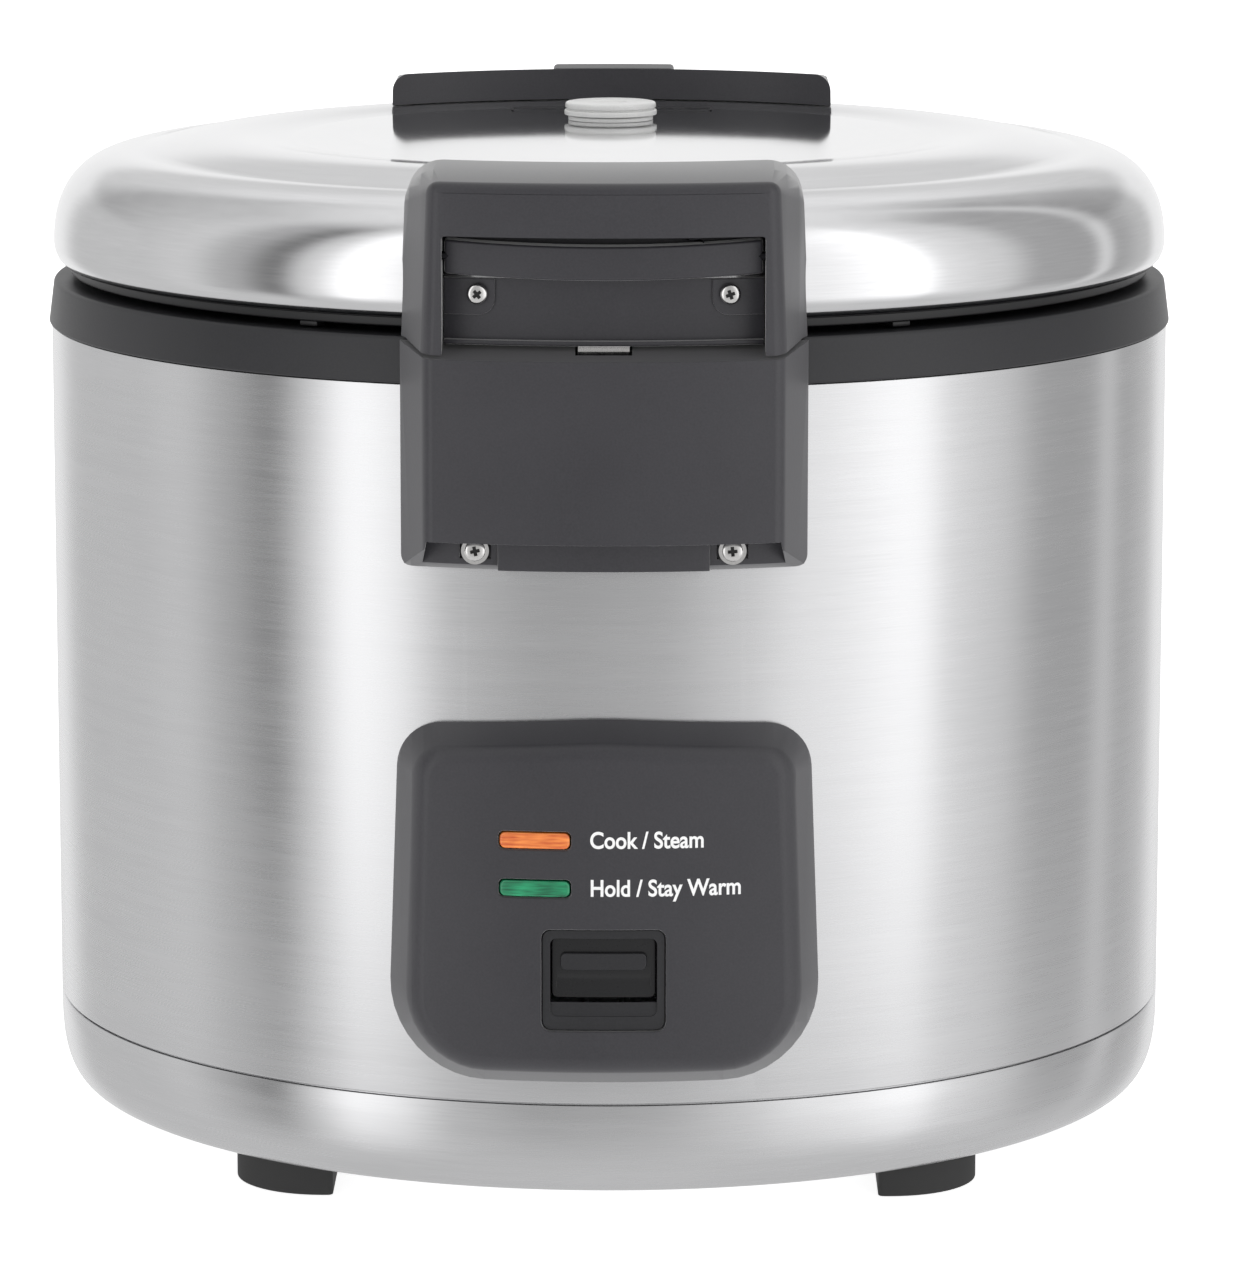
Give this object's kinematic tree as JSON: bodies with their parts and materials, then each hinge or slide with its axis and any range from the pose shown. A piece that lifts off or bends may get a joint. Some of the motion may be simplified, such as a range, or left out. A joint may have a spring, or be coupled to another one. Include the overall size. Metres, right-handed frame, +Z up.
{
  "type": "rice cooker",
  "caption": "Large round rice cooker with a brushed steel body, hinged domed lid, front latch grip, steam vent and a control panel with a cooking lever and lamps.",
  "frame": {"origin": "on the floor, under the axis of the round body, which is also the middle of the plan box", "axes": "+Z up, the latch and the control panel face -Y, the hinge is towards +Y"},
  "size_m": [0.402, 0.44, 0.3663],
  "materials": {
    "brushed_steel": "stainless sheet, fine horizontal brushing",
    "lid_steel": "stainless sheet, satin turned and half polished",
    "charcoal_plastic": "charcoal moulding with a fine spark texture",
    "black_plastic": "black moulding",
    "foot_rubber": "hard dark rubber",
    "zinc_steel": "zinc plated pressed steel",
    "bright_steel": "nickel plated",
    "cast_aluminium": "machined casting",
    "non_stick": "non-stick coating, slightly speckled",
    "silicone": "translucent silicone",
    "white_plastic": "white gloss moulding",
    "orange_lens": "clear orange, ribbed inside",
    "green_lens": "clear green, ribbed inside",
    "circuit_board": "green lacquered board"
  },
  "bodies": {
    "root": {"base_pan": "brushed_steel", "bottom_cover": "zinc_steel", "foot_front_left": "foot_rubber", "foot_front_right": "foot_rubber", "foot_rear_left": "foot_rubber", "foot_rear_right": "foot_rubber", "outer_shell": "brushed_steel", "upper_collar": "charcoal_plastic", "inner_liner": "zinc_steel", "warming_band": "silicone", "heating_plate": "cast_aluminium", "heating_element": "zinc_steel", "inner_pot": "non_stick", "sensor_guide": "zinc_steel", "sensor_spring": "bright_steel", "lever_bracket": "zinc_steel", "lever_pivot_pin": "bright_steel", "lever_return_spring": "bright_steel", "microswitch": "black_plastic", "control_panel": "charcoal_plastic", "switch_frame": "charcoal_plastic", "cook_lamp_lens": "orange_lens", "warm_lamp_lens": "green_lens", "lamp_board": "circuit_board", "front_latch_cover": "charcoal_plastic", "cover_screw_left": "bright_steel", "cover_screw_right": "bright_steel", "strike_plate": "zinc_steel", "rear_hinge_cover": "charcoal_plastic", "hinge_bracket_body": "zinc_steel", "hinge_pin": "bright_steel", "hinge_spring": "bright_steel", "power_inlet": "black_plastic"},
    "lid": {"lid_shell": "lid_steel", "lid_frame": "black_plastic", "lid_liner": "zinc_steel", "lid_inner_plate": "cast_aluminium", "lid_gasket": "silicone", "plate_stud": "bright_steel", "plate_grommet": "silicone", "vent_base": "white_plastic", "lid_grip_cover": "charcoal_plastic", "grip_back_plate": "charcoal_plastic", "grip_screw_left": "bright_steel", "grip_screw_right": "bright_steel", "latch_pin": "bright_steel", "latch_spring": "bright_steel", "rear_lid_cover": "charcoal_plastic", "hinge_bracket_lid": "zinc_steel"},
    "latch": {"release_lever": "charcoal_plastic", "latch_hook": "bright_steel"},
    "cook_lever": {"lever_arm": "zinc_steel", "cook_knob": "black_plastic"},
    "vent_cap": {"vent_cap": "white_plastic"},
    "sensor_cap": {"sensor_cap": "cast_aluminium"},
    "sensor_magnet": {"sensor_magnet": "black_plastic"},
    "condensate_cup": {"condensate_cup": "white_plastic"}
  },
  "joints": [
    {"name": "lid_hinge", "type": "hinge", "parent": "root", "child": "lid", "pos_m": [0, 0.213, 0.309], "axis": [-1, 0, 0], "range_deg": [0, 88]},
    {"name": "latch_release", "type": "hinge", "parent": "lid", "child": "latch", "pos_m": [0, -0.206, 0.333], "axis": [-1, 0, 0], "range_deg": [0, 4], "stiffness_Nm_per_rad": 0.4, "springref_deg": -6.88, "deforming": ["latch_spring"]},
    {"name": "cook_lever", "type": "hinge", "parent": "root", "child": "cook_lever", "pos_m": [0, -0.1, 0.055], "axis": [1, 0, 0], "range_deg": [0, 2.5], "stiffness_Nm_per_rad": 1.5, "springref_deg": -8.59},
    {"name": "magnet_lift", "type": "slide", "parent": "root", "child": "sensor_magnet", "axis": [0, 0, 1], "range_m": [0, 0.00437]},
    {"name": "sensor_press", "type": "slide", "parent": "root", "child": "sensor_cap", "axis": [0, 0, -1], "range_m": [0, 0.004], "stiffness_N_per_m": 1500, "springref_m": -0.003, "deforming": ["sensor_spring"]},
    {"name": "vent_lift", "type": "slide", "parent": "lid", "child": "vent_cap", "axis": [0, 0, 1], "range_m": [0, 0.03]},
    {"name": "cup_slide", "type": "slide", "parent": "root", "child": "condensate_cup", "axis": [0, 1, 0], "range_m": [0, 0.035]}
  ],
  "couplings": [
    {"joint": "magnet_lift", "follows": "cook_lever", "m_per_rad": 0.1}
  ]
}
